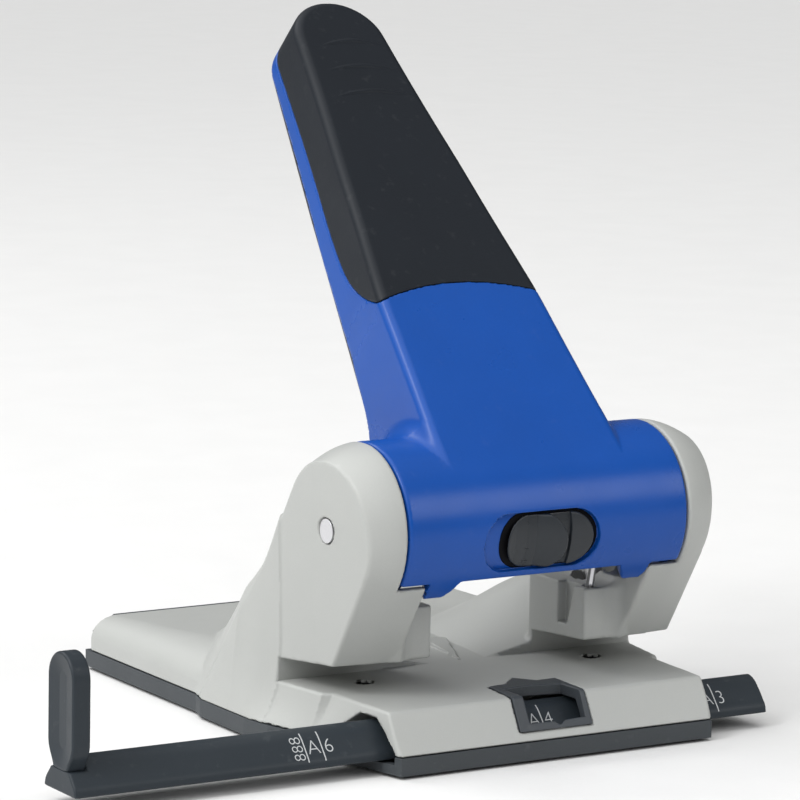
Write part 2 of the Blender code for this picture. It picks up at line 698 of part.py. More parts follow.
def make_lock_slider(slider):
    knob = slider_prism("lock_slider", stadium(-15.2, 15.2, 8.6, 8), 18, 32, slider)
    keep(knob, barrel_cylinder("knob_skin", 25.3, 60, slider))
    cut(knob, barrel_cylinder("knob_back", RECESS_FLOOR + GAP, 60, slider))
    ridge = slider_prism("knob_ridge", arc((2.2, 0), 8.2, 90, 270, 10) + [(5.8, -7.4), (5.8, 7.4)],
                         20, 32, slider)
    keep(ridge, barrel_cylinder("ridge_skin", 27.0, 60, slider))
    cut(ridge, barrel_cylinder("ridge_back", 24.2, 60, slider))
    join(knob, ridge)
    stem = [(-5, -3), (5, -3), (5, 3), (-5, 3)]
    join(knob, slider_prism("stem", stem, 20.0, 24.3, slider))
    return knob


def make_slider_retainer(slider):
    plate = slider_prism("slider_retainer", [(-9, -5.5), (9, -5.5), (9, 5.5), (-9, 5.5)], 17, 26, slider)
    keep(plate, barrel_cylinder("retainer_skin", BARREL_R - BARREL_WALL - GAP, 60, slider))
    cut(plate, barrel_cylinder("retainer_back", 19.4, 60, slider))
    hole = [(-5.3, -3.3), (5.3, -3.3), (5.3, 3.3), (-5.3, 3.3)]
    cut(plate, slider_prism("stem_hole", hole, 15, 30, slider))
    return plate


def make_slider_detent_spring(pivot):
    """A leaf inside the barrel that bears on the slider's retainer."""
    leaf = [(-24.0, 19.3), (-17.5, 17.2), (-2.0, 18.6), (13.5, 17.2), (19.0, 19.3)]
    outline = leaf + [(x, out - 0.6) for x, out in reversed(leaf)]
    rings = [[slider_frame(x, along, out) for x, out in outline] for along in (-2.0, 2.0)]
    return loft("slider_detent_spring", rings, pivot)


def make_punch(name, side, body):
    """A punch pin with a flat head, drawn from the pin's own axis."""
    profile = [(0, HEAD_TOP), (HEAD_R, HEAD_TOP), (HEAD_R, HEAD_LOW), (PUNCH_R, HEAD_LOW),
               (PUNCH_R, PUNCH_TIP_Z), (0, PUNCH_TIP_Z + 1.0)]
    return turned(name, profile, parent=body, steps=24)


# ---------------------------------------------------------------- stop rail

def rail_section():
    """Seen along X: a bell with a flat foot and hollow slopes."""
    front = [(-37.6, RAIL_LOW), (-37.0, 7.0), (-33.6, 11.0), (-30.6, 13.8)]
    top = [(RAIL_MID, 14.6)]
    rear = [(2 * RAIL_MID - y, z) for y, z in reversed(front)]
    return front + top + rear


def make_rail(body):
    rail = flat_plate("rail", rail_section(), RAIL_LEFT, RAIL_RIGHT, "X", body)
    shoulder = RAIL_LEFT + PADDLE_THICK + GAP
    cut(rail, box("paddle_shoulder", (RAIL_LEFT - 5, -60, PADDLE_LOW - GAP), (shoulder, 0, 30), body))
    cut(rail, box("mortise", (RAIL_LEFT + 1.2, RAIL_MID - 2.4, 6.6), (RAIL_LEFT + 4.5, RAIL_MID + 2.4, 30),
                  body))
    return rail


def make_stop_paddle(body):
    middle = (PADDLE_LOW + PADDLE_TOP) / 2
    reach = middle - PADDLE_LOW - PADDLE_HALF_DEPTH
    outline = arc((RAIL_MID, middle + reach), PADDLE_HALF_DEPTH, 0, 180, 12)
    outline += arc((RAIL_MID, middle - reach), PADDLE_HALF_DEPTH, 180, 360, 12)
    paddle = flat_plate("stop_paddle", outline, RAIL_LEFT, RAIL_LEFT + PADDLE_THICK, "X", body)
    foot = box("paddle_foot", (RAIL_LEFT, RAIL_MID - 4, PADDLE_LOW), (RAIL_LEFT + PADDLE_THICK, RAIL_MID + 4,
                                                                      PADDLE_LOW + 6), body)
    tenon = box("paddle_tenon", (RAIL_LEFT + 1.5, RAIL_MID - 2.1, 7.0),
                (RAIL_LEFT + 4.2, RAIL_MID + 2.1, PADDLE_LOW + 3), body)
    join(paddle, foot, tenon)
    return paddle


def make_rail_detent_spring():
    """A leaf behind the rail: its middle bears on the rail, its ends on the bed."""
    leaf = [(-22.0, -14.6), (-9.0, -15.6), (0.0, -17.3), (9.0, -15.6), (22.0, -14.6)]
    outline = leaf + [(x, y + 0.6) for x, y in reversed(leaf)]
    return flat_plate("rail_detent_spring", outline, 7.0, 9.6)


# ---------------------------------------------------------------- assembly

def main():
    materials = {name: make_material(name, *values) for name, values in MATERIALS.items()}
    lever = add_pivot("lever_axis", (0, PIVOT_Y, PIVOT_Z))
    slider = add_pivot("slider_axis", (0, 0, 0))
    slider.parent = lever
    rail_body = add_pivot("rail_axis", (0, 0, 0))
    made = {name: [] for name in MATERIALS}

    made["grey_casting"] += [make_base_bed(), make_rear_housing()]
    made["dark_plastic"] += [make_window_frame(), make_chip_tray()]
    made["rubber"].append(make_mat())
    made["steel"] += make_dies() + make_screws() + [make_shaft(), make_return_spring()]
    made["brass"] += make_guide_bushes()
    for name, side in (("left", -1), ("right", 1)):
        made["grey_casting"].append(make_side_frame("side_frame_" + name, side))
        made["steel"].append(make_crank_yoke("crank_yoke_" + name, side, lever))
        made["steel"].append(make_crank_roller("crank_roller_" + name, side, lever))
        punch_axis = add_pivot("punch_axis_" + name, (side * PUNCH_X, 0, 0))
        made["steel"].append(make_punch("punch_" + name, side, punch_axis))
    made["brass"] += make_bearing_bushes(lever)
    made["blue_lacquer"].append(make_lever_shell(lever))
    made["dark_plastic"].append(make_lever_cover(lever))
    made["soft_grip"].append(make_grip(lever))
    made["dark_plastic"] += [make_lock_slider(slider), make_slider_retainer(slider)]
    made["steel"] += [make_slider_detent_spring(lever), make_rail_detent_spring()]
    made["dark_plastic"] += [make_rail(rail_body), make_stop_paddle(rail_body)]

    for name, objects in made.items():
        for obj in objects:
            finish(obj, materials[name])


main()
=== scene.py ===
"""The visual model of the two-hole punch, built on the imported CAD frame.

Sizes are in millimetres and become metres when a mesh is made. A shape is a field: a function of
x, y and z that is negative inside, about zero on the skin and positive outside. surface() meshes it.
"""

import json
import math

import bpy
import numpy as np
from mathutils import Matrix, Vector


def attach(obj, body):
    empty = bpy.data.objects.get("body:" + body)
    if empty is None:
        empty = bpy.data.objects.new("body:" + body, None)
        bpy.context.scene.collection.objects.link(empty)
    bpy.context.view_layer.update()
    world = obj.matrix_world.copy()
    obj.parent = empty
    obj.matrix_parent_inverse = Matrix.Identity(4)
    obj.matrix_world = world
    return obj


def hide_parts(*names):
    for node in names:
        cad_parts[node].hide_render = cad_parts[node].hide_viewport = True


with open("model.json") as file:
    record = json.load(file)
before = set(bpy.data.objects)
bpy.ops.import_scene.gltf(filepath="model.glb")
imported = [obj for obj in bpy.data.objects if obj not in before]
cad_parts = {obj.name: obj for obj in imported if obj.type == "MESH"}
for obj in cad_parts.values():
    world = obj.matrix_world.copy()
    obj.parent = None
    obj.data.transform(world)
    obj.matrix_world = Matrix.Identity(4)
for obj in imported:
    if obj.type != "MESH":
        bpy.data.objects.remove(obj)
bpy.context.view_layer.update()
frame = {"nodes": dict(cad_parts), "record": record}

MM = 0.001
PIVOT_Y, PIVOT_Z = -12.17, 67.24  # the axle that the lever turns on
BARREL_R, BARREL_HALF = 24.87, 48.0
SHAFT_HOLE_R = 3.9
PUNCH_X = 40.0
BED_TOP = 18.4
BASE_LOW = 6.55
CHEEK_INNER = 48.6
JOIN_X = 50  # the web and the column end here, inside the cheek
COLUMN_INNER, COLUMN_FRONT, COLUMN_REAR, COLUMN_TOP = 26.7, -15.3, 16.5, 43.0
WEB_INNER, WEB_TOP = 38.6, 52.1
BARREL_ROOM_R = 22.4
CHAMBER_REAR = 122.7
HANDLE_END, HANDLE_CORNER = 178.0, 14.0
HANDLE_WALL = 2.4
DRUM_R, DRUM_HALF = 21.4, 45.0
SLIDER_SLOT, SLIDER_SLOT_HALF = (-12.2, 5.6), 3.3
RAIL_Y, RAIL_LOW, RAIL_TOP = -27.9, 4.5, 14.6
RAIL_LEFT, RAIL_RIGHT = -154.2, 79.0
STOP_FACE = -148.5  # the sheet's edge rests here, and the marks count from here
MARK_LOW, MARK_HIGH = 6.6, 13.6


# ---------------------------------------------------------------- fields

def both(a, b, r):
    """Where two shapes overlap, with the edge rounded."""
    u = np.maximum(a + r, 0)
    v = np.maximum(b + r, 0)
    return np.minimum(np.maximum(a, b) + r, 0) - r + np.sqrt(u * u + v * v)


def either(a, b, r):
    """Two shapes together, with a fillet between them."""
    return -both(-a, -b, r)


def less(a, b, r):
    """The first shape without the second, with the edge rounded."""
    return both(a, -b, r)


def slab(value, low, high):
    return np.maximum(low - value, value - high)


def outline(points, u, v):
    """Distance from a closed outline, negative inside."""
    shape = np.broadcast(u, v).shape
    best = np.full(shape, 1e12)
    inside = np.zeros(shape, bool)
    for (u0, v0), (u1, v1) in zip(points, points[1:] + points[:1]):
        du, dv = u1 - u0, v1 - v0
        t = np.clip(((u - u0) * du + (v - v0) * dv) / (du * du + dv * dv), 0, 1)
        best = np.minimum(best, (u - u0 - t * du) ** 2 + (v - v0 - t * dv) ** 2)
        if dv:
            inside ^= ((v0 <= v) != (v1 <= v)) & (u < u0 + (v - v0) * du / dv)
    return np.where(inside, -1, 1) * np.sqrt(best)


def curve(value, places, heights):
    """A smooth curve through points, without overshoot."""
    x = np.array(places, float)
    h = np.array(heights, float)
    steps = np.diff(h) / np.diff(x)
    slopes = np.concatenate([[steps[0]], (steps[1:] + steps[:-1]) / 2, [steps[-1]]])
    flat = np.concatenate([[False], steps[1:] * steps[:-1] <= 0, [False]])
    slopes[flat] = 0
    v = np.clip(value, x[0], x[-1])
    i = np.clip(np.searchsorted(x, v) - 1, 0, len(x) - 2)
    w = x[i + 1] - x[i]
    t = (v - x[i]) / w
    return (h[i] * (1 + 2 * t) * (1 - t) ** 2 + slopes[i] * w * t * (1 - t) ** 2
            + h[i + 1] * t * t * (3 - 2 * t) + slopes[i + 1] * w * t * t * (t - 1))


def stadium(u, v, low, high, radius):
    return np.hypot(u - np.clip(u, low + radius, high - radius), v) - radius


def surface(name, field, low, high, step):
    """The field's zero level as a smooth mesh: surface nets, then pulled onto the level."""
    axes = [np.arange(a, b + step, step) for a, b in zip(low, high)]
    shape = tuple(len(a) for a in axes)
    grid = np.array(np.broadcast_to(
        field(axes[0][:, None, None], axes[1][None, :, None], axes[2][None, None, :]), shape))
    inside = grid < 0
    strides = np.array([shape[1] * shape[2], shape[2], 1])
    cells, places, quads = [], [], []
    for axis in range(3):
        lower = tuple(slice(0, -1) if k == axis else slice(None) for k in range(3))
        upper = tuple(slice(1, None) if k == axis else slice(None) for k in range(3))
        crossing = inside[lower] != inside[upper]
        index = np.argwhere(crossing)
        a, b = grid[lower][crossing], grid[upper][crossing]
        place = index.astype(float)
        place[:, axis] += a / (a - b)
        first = index @ strides
        u, v = strides[(axis + 1) % 3], strides[(axis + 2) % 3]
        quad = np.stack([first - u - v, first - v, first, first - u], 1)
        turned = ~inside[lower][crossing]
        quad[turned] = quad[turned][:, ::-1]
        quads.append(quad)
        for k in range(4):
            cells.append(quad[:, k])
            places.append(place)
    cells = np.concatenate(cells)
    places = np.concatenate(places)
    ids, which = np.unique(cells, return_inverse=True)
    count = np.bincount(which)
    points = np.stack([np.bincount(which, weights=places[:, k]) / count for k in range(3)], 1)
    points = np.array(low, float) + points * step
    faces = np.searchsorted(ids, np.concatenate(quads)).astype(np.int32)

    def gradient(p, reach):
        result = np.empty_like(p)
        for k in range(3):
            q = p.copy()
            q[:, k] += reach
            ahead = field(*q.T)
            q[:, k] -= 2 * reach
            result[:, k] = (ahead - field(*q.T)) / (2 * reach)
        return result

    for _ in range(3):
        slope = gradient(points, 0.02)
        pull = -field(*points.T) / np.maximum((slope ** 2).sum(1), 0.04)
        points += np.clip(pull[:, None] * slope, -0.4 * step, 0.4 * step)
    normals = gradient(points, 0.06)
    normals /= np.maximum(np.linalg.norm(normals, axis=1, keepdims=True), 1e-9)

    mesh = bpy.data.meshes.new(name)
    mesh.vertices.add(len(points))
    mesh.vertices.foreach_set("co", (points * MM).ravel())
    mesh.loops.add(faces.size)
    mesh.loops.foreach_set("vertex_index", faces.ravel())
    mesh.polygons.add(len(faces))
    mesh.polygons.foreach_set("loop_start", np.arange(0, faces.size, 4, dtype=np.int32))
    mesh.update(calc_edges=True)
    mesh.polygons.foreach_set("use_smooth", np.ones(len(faces), bool))
    mesh.normals_split_custom_set_from_vertices(normals)
    obj = bpy.data.objects.new(name, mesh)
    bpy.context.scene.collection.objects.link(obj)
    print(name, len(points), "points")
    return obj


# ---------------------------------------------------------------- materials

def make_material(name, colour, roughness, metallic=0.0, grain=0.02, grain_size=0.6, shade=0.06,
                  rough_change=0.08, gloss=0.4, scratches=0.0, dust=0.0):
    """A finish with fine grain, uneven roughness, soft colour change and light wear."""
    material = bpy.data.materials.new(name)
    material.use_nodes = True
    nodes, links = material.node_tree.nodes, material.node_tree.links
    shader = nodes["Principled BSDF"]
    shader.inputs["Metallic"].default_value = metallic
    shader.inputs["Specular IOR Level"].default_value = gloss
    place = nodes.new("ShaderNodeTexCoord")

    def noise(scale, detail, stretch=None):
        texture = nodes.new("ShaderNodeTexNoise")
        texture.inputs["Scale"].default_value = scale
        texture.inputs["Detail"].default_value = detail
        texture.inputs["Roughness"].default_value = 0.55
        if stretch:
            mapping = nodes.new("ShaderNodeMapping")
            mapping.inputs["Scale"].default_value = stretch
            links.new(place.outputs["Object"], mapping.inputs["Vector"])
            links.new(mapping.outputs["Vector"], texture.inputs["Vector"])
        else:
            links.new(place.outputs["Object"], texture.inputs["Vector"])
        return texture.outputs["Fac"]

    def spread(source, low, high, at_low=0.3, at_high=0.7):
        ranged = nodes.new("ShaderNodeMapRange")
        ranged.inputs["From Min"].default_value = at_low
        ranged.inputs["From Max"].default_value = at_high
        ranged.inputs["To Min"].default_value = low
        ranged.inputs["To Max"].default_value = high
        links.new(source, ranged.inputs["Value"])
        return ranged.outputs["Result"]

    def mixed(factor, first, second):
        mix = nodes.new("ShaderNodeMix")
        mix.data_type = "RGBA"
        links.new(factor, mix.inputs["Factor"])
        for socket, value in ((mix.inputs["A"], first), (mix.inputs["B"], second)):
            if isinstance(value, tuple):
                socket.default_value = (*value, 1)
            else:
                links.new(value, socket)
        return mix.outputs["Result"]

    darker = tuple(c * (1 - shade) for c in colour)
    lighter = tuple(min(c * (1 + shade), 1) for c in colour)
    base = mixed(spread(noise(28, 3), 0, 1), darker, lighter)
    fine = noise(1000 / grain_size, 2)
    base = mixed(spread(fine, 0, 0.25 * shade / 0.06), base, tuple(c * 0.8 for c in colour))
    if dust:
        pale = tuple(c + (0.55 - c) * 0.5 for c in colour)
        base = mixed(spread(noise(240, 6), 0, dust, 0.62, 0.72), base, pale)
    links.new(base, shader.inputs["Base Color"])
    rough = spread(noise(60, 4), roughness - rough_change / 2, roughness + rough_change / 2)
    if scratches:
        marks = spread(noise(900, 2, (0.06, 1.0, 1.0)), 0, scratches, 0.6, 0.7)
        add = nodes.new("ShaderNodeMath")
        add.operation = "ADD"
        links.new(rough, add.inputs[0])
        links.new(marks, add.inputs[1])
        rough = add.outputs[0]
    links.new(rough, shader.inputs["Roughness"])
    bump = nodes.new("ShaderNodeBump")
    bump.inputs["Strength"].default_value = 1.0
    bump.inputs["Distance"].default_value = grain * MM
    links.new(fine, bump.inputs["Height"])
    links.new(bump.outputs["Normal"], shader.inputs["Normal"])
    return material


FINISHES = {
    "casting": dict(colour=(0.41, 0.42, 0.405), roughness=0.44, grain=0.03, grain_size=0.5,
                    shade=0.025, dust=0.05),
    "insert_plastic": dict(colour=(0.045, 0.052, 0.06), roughness=0.45, grain=0.02, dust=0.06),
    "tray_plastic": dict(colour=(0.045, 0.052, 0.058), roughness=0.5, grain=0.03, dust=0.06),
    "mat_rubber": dict(colour=(0.02, 0.02, 0.02), roughness=0.8, grain=0.08, grain_size=1.0),
    "tool_steel": dict(colour=(0.60, 0.60, 0.61), roughness=0.28, metallic=1.0, scratches=0.15),
    "screw_steel": dict(colour=(0.55, 0.55, 0.56), roughness=0.35, metallic=1.0, scratches=0.15),
    "shaft_steel": dict(colour=(0.72, 0.72, 0.74), roughness=0.33, metallic=1.0, scratches=0.1),
    "spring_steel": dict(colour=(0.58, 0.58, 0.60), roughness=0.3, metallic=1.0, scratches=0.1),
    "bush_brass": dict(colour=(0.70, 0.52, 0.25), roughness=0.35, metallic=1.0, scratches=0.15),
    "crank_steel": dict(colour=(0.48, 0.48, 0.50), roughness=0.4, metallic=1.0, scratches=0.15),
    "blue_lacquer": dict(colour=(0.004, 0.066, 0.335), roughness=0.3, gloss=0.3, grain=0.012,
                         grain_size=0.8, shade=0.05, dust=0.02),
    "cover_plastic": dict(colour=(0.02, 0.023, 0.028), roughness=0.5, grain=0.03, dust=0.05),
    "grip_rubber": dict(colour=(0.009, 0.012, 0.017), roughness=0.5, gloss=0.22, grain=0.03,
                        grain_size=0.5, dust=0.03),
    "slider_plastic": dict(colour=(0.016, 0.020, 0.025), roughness=0.34, gloss=0.4, grain=0.012,
                           dust=0.01),
    "rail_plastic": dict(colour=(0.024, 0.031, 0.038), roughness=0.42, gloss=0.25, grain=0.02,
                         dust=0.05),
    # Near-black seat: partly its own dark plastic rim, partly painted shade for the deep gap round the
    # slider knob.
    "seat_black_painted_shade": dict(colour=(0.002, 0.002, 0.003), roughness=0.6, grain=0.01, gloss=0.1),
    "print_ink": dict(colour=(0.48, 0.50, 0.51), roughness=0.5, grain=0.01, shade=0.1),
    "floor": dict(colour=(0.80, 0.80, 0.795), roughness=0.6, grain=0.05, grain_size=2.0, shade=0.01,
                  dust=0.0),
}
MATERIALS = {name: make_material(name, **values) for name, values in FINISHES.items()}


def add_piece(obj, body, slot, *nodes, material=None):
    """Puts a piece on its body, in its finish, in place of its CAD nodes."""
    obj.data.materials.clear()
    obj.data.materials.append(MATERIALS[material or slot])
    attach(obj, body)
    if nodes:
        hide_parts(*nodes)
    return obj


# ---------------------------------------------------------------- housing

WEDGE = [(1.3, 12.6), (1.0, 34.0), (9.5, 34.0)]
CHANNEL = [(-43.8, 4.0), (-36.8, 12.2), (-31.9, 15.8), (-24.0, 15.8), (-18.0, 11.4), (-13.5, 4.0)]
WINDOW = [(-13.0, -46.0), (-13.0, -38.0), (-11.1, -22.1), (-4.4, -21.4), (1.6, -15.1), (6.5, -21.3),
          (13.4, -21.0), (12.7, -37.8), (12.7, -46.0)]
GROOVE = [(-5.9, 30.6), (-1.1, 30.6), (-1.1, 50.0), (-12.1, 50.0)]
FRONT_TILT = math.hypot(6.7, 11.9)


def bed_front(y, z):
    """Distance in front of the bed's slanted front."""
    return (-(y + 37.4) * 11.9 + (z - BED_TOP) * 6.7) / FRONT_TILT


def outer_face(y, z):
    """The cheek's half width: upright in front, swept out towards the foot behind."""
    sweep = curve(y, [-12, 10.4, 21, 48], [0.5, 5.8, 7.2, 7.1])
    power = curve(y, [-12, 10, 20, 30], [10, 8, 3, 1])
    down = np.clip((PIVOT_Z - z) / 60.7, 0.001, 1.05)
    tilt = 0.083 * (y - PIVOT_Y) + 0.056 * (z - PIVOT_Z)
    tilt = tilt * curve(y, [-5, 35], [1, 0]) * curve(z, [8, 18], [0, 1]) * curve(z, [67, 90], [1, 0.5])
    return 61.2 + sweep * down ** power + tilt


def cheek_profile(ax, y, z):
    """The round top, joined by straight lines to the nose in front and to the foot behind.

    The skin draws in towards the outer face, and the front line turns back with it.
    """
    dome = 4.4 * np.clip((ax - CHEEK_INNER) / 12.4, 0, 1) ** 1.7
    lean = np.radians(curve(ax, [38, 48.6, 58.9, 62], [31.6, 34.7, 31.6, 29.7]))
    nose_y = -16.4 + 0.148 * np.clip(ax - 38, 0, 26)
    ahead = -(y - nose_y) * np.cos(lean) - (z - 27.3) * np.sin(lean)
    behind = ((y - 17.0) - 0.614 * (PIVOT_Z - z)) / 1.1734 + dome
    above = (z - 53.1 - 0.652 * (y + 32.6)) * 0.84
    top = np.hypot(y - PIVOT_Y, z - PIVOT_Z) - BARREL_R + dome
    return np.minimum(top, np.maximum(np.maximum(ahead, behind), above)), ahead


def housing_field(x, y, z):
    ax = np.abs(x)
    outer = outer_face(y, z)
    from_axis = np.hypot(y - PIVOT_Y, z - PIVOT_Z)
    profile, ahead = cheek_profile(ax, y, z)
    cheek = both(profile, ax - outer, 0.9)
    cheek = both(cheek, CHEEK_INNER - ax, 0.7)
    cheek = np.maximum(cheek, np.minimum(10.4 - y, 20.0 - z))

    # The web in front of the column, under the barrel.
    web = both(np.maximum(ahead, y - 5.0), WEB_INNER - ax, 1.0)
    web = both(web, z - WEB_TOP, 0.7)
    web = np.maximum(web, ax - JOIN_X)
    room = np.maximum(from_axis - BARREL_ROOM_R, ax - CHEEK_INNER)
    web = np.maximum(web, -room)

    # The column, flat on top below the open barrel.
    post = both(COLUMN_INNER - ax, y - COLUMN_REAR, 3.0)
    post = both(post, COLUMN_FRONT - y, 0.8)
    post = both(post, z - COLUMN_TOP, 0.7)
    post = np.maximum(post, ax - JOIN_X)
    post = np.maximum(post, 19.0 - z)
    post = np.maximum(post, -np.maximum(room, 44.0 - ax))
    groove = np.maximum(outline(GROOVE, y, z), ax - 29.8)
    post = less(post, groove, 0.3)
    pocket = np.maximum(np.maximum(slab(ax, 28.9, 32.1), slab(y, -14.2, -9.2)), 37.0 - z)
    post = less(post, pocket, 0.3)
    upper = either(post, web, curve(ax, [WEB_INNER, 43.0], [6.0, 0.05]))
    upper = np.minimum(upper, cheek)

    # The valley between the gussets, and the gussets' warped backs.
    ridge_y = 51.7 + (32.7 - z) / 0.52
    edge_y = 17.0 + 0.614 * (PIVOT_Z - z)
    edge_x = np.interp(z, [6.5, 40.4, 67.0], [67.7, 64.1, 61.2])
    over = np.clip((ax - 46) / (edge_x - 46), 0, 1.1)
    steep = 1.92 + (0.614 - 1.92) * over
    lean = (edge_y - ridge_y) / (edge_x - 46) * (over > 0)
    back = (y - ridge_y - (edge_y - ridge_y) * over) / np.sqrt(1 + steep ** 2 + lean ** 2)
    foot_z = curve(y, [13, 30, 62, 75, 126], [18.4, 19.3, 20.16, 19.5, 16.98])
    slope = curve(y, [13, 25, 40, 50, 62, 70], [0.207, 0.36, 0.48, 0.42, 0.30, 0.30])
    inner_x = curve(y, [13, 45, 62, 75.5, 82], [10, 10, 21, 45, 70])
    rise = slope * np.maximum(ax - inner_x, 0)
    valley = (z - foot_z - rise - 8 * np.maximum(ax - 47.8, 0)) / np.sqrt(1 + slope ** 2)
    gusset = both(both(back, ax - outer, 4.4), valley, 1.6)
    gusset = np.maximum(gusset, 12.5 - y)

    # The chip chamber's cover.
    top = 17.0 + 0.0496 * (125.7 - y)
    crease = curve(y, [54, 65, 88, 125.7], [49.5, 50, 53.5, 58])
    side = np.maximum(ax - crease, 0) / (66.4 - crease)
    up = np.maximum(z - 10, 0) / (top - 10)
    shell = (np.hypot(side, up) - 1) * (top - 10)
    cover = np.maximum(both(shell, y - CHAMBER_REAR, 1.0), 50 - y)
    cover = np.maximum(cover, z - foot_z - rise - 8 * np.maximum(ax - 45.0, 0))

    # The bed.
    top_x = np.interp(y, [-37.4, -22.9, -9.4, -7.4, 10.4], [54.4, 55.3, 55.9, 58.9, 62.0])
    low_x = np.interp(y, [-44.1, -28.0, -17.0, -12.0, 10.4], [54.0, 57.6, 60.2, 61.8, 66.9])
    down = np.clip((BED_TOP - z) / 11.85, 0.0, 1.0)
    bed_x = top_x + (low_x - top_x) * down ** np.interp(y, [-12, 10], [1.0, 1.7])
    bed_x = bed_x + (outer - bed_x) * curve(y, [-4, 9.6], [0, 1])
    bed = both(both(z - BED_TOP, bed_front(y, z), 0.9), ax - bed_x, 0.9)
    bed = np.maximum(bed, y - 13.0)

    body = either(upper, gusset, 1.5)
    body = either(body, cover, 0.4)
    mark = both(outline(WEDGE, x, y), z - foot_z - 0.3 - 0.06 * (y - 13), 0.2)
    body = np.minimum(body, np.maximum(mark, 18.0 - z))
    slot_top = np.interp(y, [COLUMN_FRONT, 0.0, 12.2], [27.4, 26.2, 25.2])
    slot = np.maximum(np.maximum(BED_TOP - z, z - slot_top), y - 12.5)
    body = less(body, slot, 0.6)
    body = np.minimum(body, bed)
    body = less(body, outline(CHANNEL, y, z), 0.5)
    bore = np.hypot(ax - PUNCH_X, y)
    body = less(body, bore - 2.85, 0.3)
    body = np.maximum(body, -np.maximum(bore - 5.3, slab(z, 26.6, 37.5)))
    body = np.maximum(body, -np.maximum(bore - 6.5, 36.3 - z))
    body = np.maximum(body, -np.maximum(bore - 6.3, slab(z, 10.0, 17.3)))
    body = less(body, from_axis - SHAFT_HOLE_R, 0.3)
    body = both(body, BASE_LOW - z, 0.3)
    window = np.maximum(outline(WINDOW, x, y), 9.0 - z)
    body = less(body, window, 0.35)
    hollow = np.maximum(np.maximum(ax - 57.4, slab(y, 13.5, 60.0)), z - 17.0)
    hollow = np.minimum(hollow, np.maximum(np.maximum(shell + 2.2, 57.0 - y), y - 130))
    hollow = np.minimum(hollow, np.maximum(np.maximum(ax - 50, slab(y, -12.0, 14.0)), z - 13.9))
    return np.maximum(body, -hollow)


housing = surface("housing", housing_field, (-70, -46, 5), (70, 125, 94), 0.8)
add_piece(housing, "root", "casting", "base_bed", "rear_housing", "side_frame_left", "side_frame_right")


# ---------------------------------------------------------------- lever

def lever_place(y, z):
    """Along the handle and out of its front face, from the lever's axis."""
    dy, dz = y - PIVOT_Y, z - PIVOT_Z
    return (dy + dz) * math.sqrt(0.5), (dz - dy) * math.sqrt(0.5)


HANDLE_S = [0, 14.4, 30.4, 46.5, 62.7, 72.6, 92.7, 112.5, 133.2, 153.6, 180]
HANDLE_HALF = [32.0, 31.3, 30.1, 29.0, 27.9, 26.7, 24.1, 21.8, 19.1, 16.8, 14.2]
DEPTH_S = [0, 24, 30, 36, 42, 50, 63, 93, 112, 133, 153.6, 180]
DEPTHS = [38, 37.5, 35, 32, 30, 28.7, 26.5, 26.5, 25, 24.2, 23.3, 22]


def handle_field(x, s, n, inset=0.0, lift=0.0):
    """The handle's closed form. Lift raises its back."""
    half = curve(s, HANDLE_S, HANDLE_HALF) - inset
    back = BARREL_R - curve(s, DEPTH_S, DEPTHS) + lift
    plan = both(np.abs(x) - half, s - HANDLE_END + inset, HANDLE_CORNER - inset)
    form = both(plan, n - BARREL_R + inset, max(2.75 - inset, 0.6))
    form = both(form, back - n, 0.5)
    return np.maximum(form, -s)


def grip_field(x, s, n, grow=0.0):
    """Beyond the arched edge on the front, and above the blue strip on the sides."""
    arch = 67.3 - 5.3 * (x / 28.5) ** 2 - grow
    low = curve(s, [60, 64.1, 68.8, 76.7, 84.9, 120, 180], [26.0, 21.2, 16.7, 11.8, 9.3, 8.8, 8.4]) - grow
    return both(arch - s, low - n, 2.0)


def slider_place(y, z):
    """Out of the barrel at the slider, and along its skin upwards."""
    dy, dz = y - PIVOT_Y, z - PIVOT_Z
    cos, sin = math.cos(math.radians(-9)), math.sin(math.radians(-9))
    return -dy * cos + dz * sin, dy * sin + dz * cos


def lever_field(x, y, z):
    ax = np.abs(x)
    s, n = lever_place(y, z)
    radius = np.hypot(y - PIVOT_Y, z - PIVOT_Z)
    barrel = both(radius - BARREL_R, ax - BARREL_HALF, 0.9)
    handle = handle_field(x, s, n, lift=1.5)
    blend = np.minimum(np.maximum(s, 0.1) ** 2 / 56.0, 6.0)
    body = either(barrel, handle, blend)
    drum = both(radius - DRUM_R, ax - DRUM_HALF, 1.0)
    root = handle_field(x, s, n, inset=HANDLE_WALL, lift=-8.0)
    root = np.maximum(root, slab(s, 6, 60))
    under_grip = handle_field(x, s, n, inset=4.7, lift=-8.0)
    hollow = np.minimum(np.minimum(drum, root), np.maximum(under_grip, 50 - s))
    body = np.maximum(body, -hollow)
    edge = np.radians(curve(ax, [27.6, 32.0, 37.4, 38.3], [-144.5, -128.4, -128.4, -145.0]))
    dy, dz = y - PIVOT_Y, z - PIVOT_Z
    rear = math.radians(18)
    open_part = both(dz * math.cos(rear) - dy * math.sin(rear),
                     dy * np.sin(edge) - dz * np.cos(edge), 0.5)
    open_part = both(open_part, np.minimum(ax - 44.8, 21.9 - radius), 0.5)
    body = less(body, open_part, 0.7)
    seat = np.maximum(grip_field(x, s, n, 0.15), -handle_field(x, s, n, inset=2.3, lift=-8.0))
    body = less(body, seat, 0.3)
    out, along = slider_place(y, z)
    floor = np.interp(x, [-22.3, -15.7], [23.7, 22.9])
    recess = np.maximum(stadium(x, along, -22.3, 17.4, 8.7), floor - radius)
    recess = np.maximum(recess, -out)
    body = less(body, recess, 0.5)
    slot = np.maximum(np.maximum(slab(x, *SLIDER_SLOT), np.abs(along) - SLIDER_SLOT_HALF), -out)
    body = np.maximum(body, -slot)
    return np.maximum(body, SHAFT_HOLE_R - radius)


lever = surface("lever_body", lever_field, (-50, -39, 40), (50, 112, 211), 0.75)
add_piece(lever, "lever", "blue_lacquer", "lever_shell")


